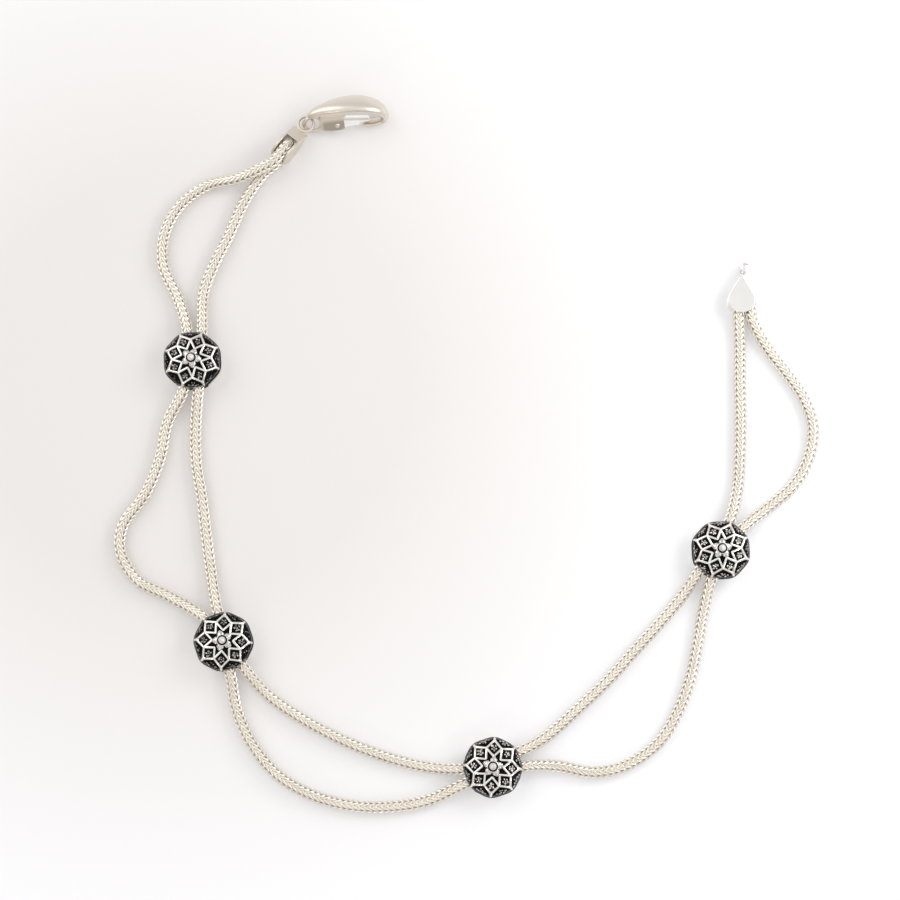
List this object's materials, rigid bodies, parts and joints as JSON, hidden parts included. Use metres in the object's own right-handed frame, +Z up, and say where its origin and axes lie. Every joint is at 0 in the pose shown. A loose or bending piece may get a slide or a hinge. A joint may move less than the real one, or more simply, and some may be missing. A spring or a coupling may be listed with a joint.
{
  "type": "anklet",
  "caption": "Anklet of paired foxtail chain strands run through dome rosette slider beads, with teardrop end caps and a lobster claw clasp.",
  "frame": {"origin": "under the middle of the laid-out anklet, on the surface it lies on", "axes": "+Z up off the surface; +X to the right and +Y away as the open C is seen from above, its opening towards +X +Y"},
  "size_m": [0.1136, 0.1171, 0.0059],
  "materials": {
    "chain_silver": "satin wire, warm silver",
    "polished_silver": "polished silver",
    "oxidised_silver": "bright lattice over blackened cells",
    "stone": "polished pale stone"
  },
  "bodies": {
    "anklet": {"strand_inner": "chain_silver", "strand_outer": "chain_silver", "rosette_1": "oxidised_silver", "rosette_2": "oxidised_silver", "rosette_3": "oxidised_silver", "rosette_4": "oxidised_silver", "stone_1": "stone", "stone_2": "stone", "stone_3": "stone", "stone_4": "stone", "end_cap_clasp": "polished_silver", "end_cap_tag": "polished_silver", "clasp_body": "polished_silver"},
    "lever": {"clasp_lever": "polished_silver"}
  },
  "joints": [
    {"name": "lever_pivot", "type": "hinge", "parent": "anklet", "child": "lever", "pos_m": [-0.02158, 0.05465, 0.00183], "axis": [0.1082, -0.8219, 0.5592], "range_deg": [0, 18], "stiffness_Nm_per_rad": 0.0001, "springref_deg": -17.19}
  ]
}
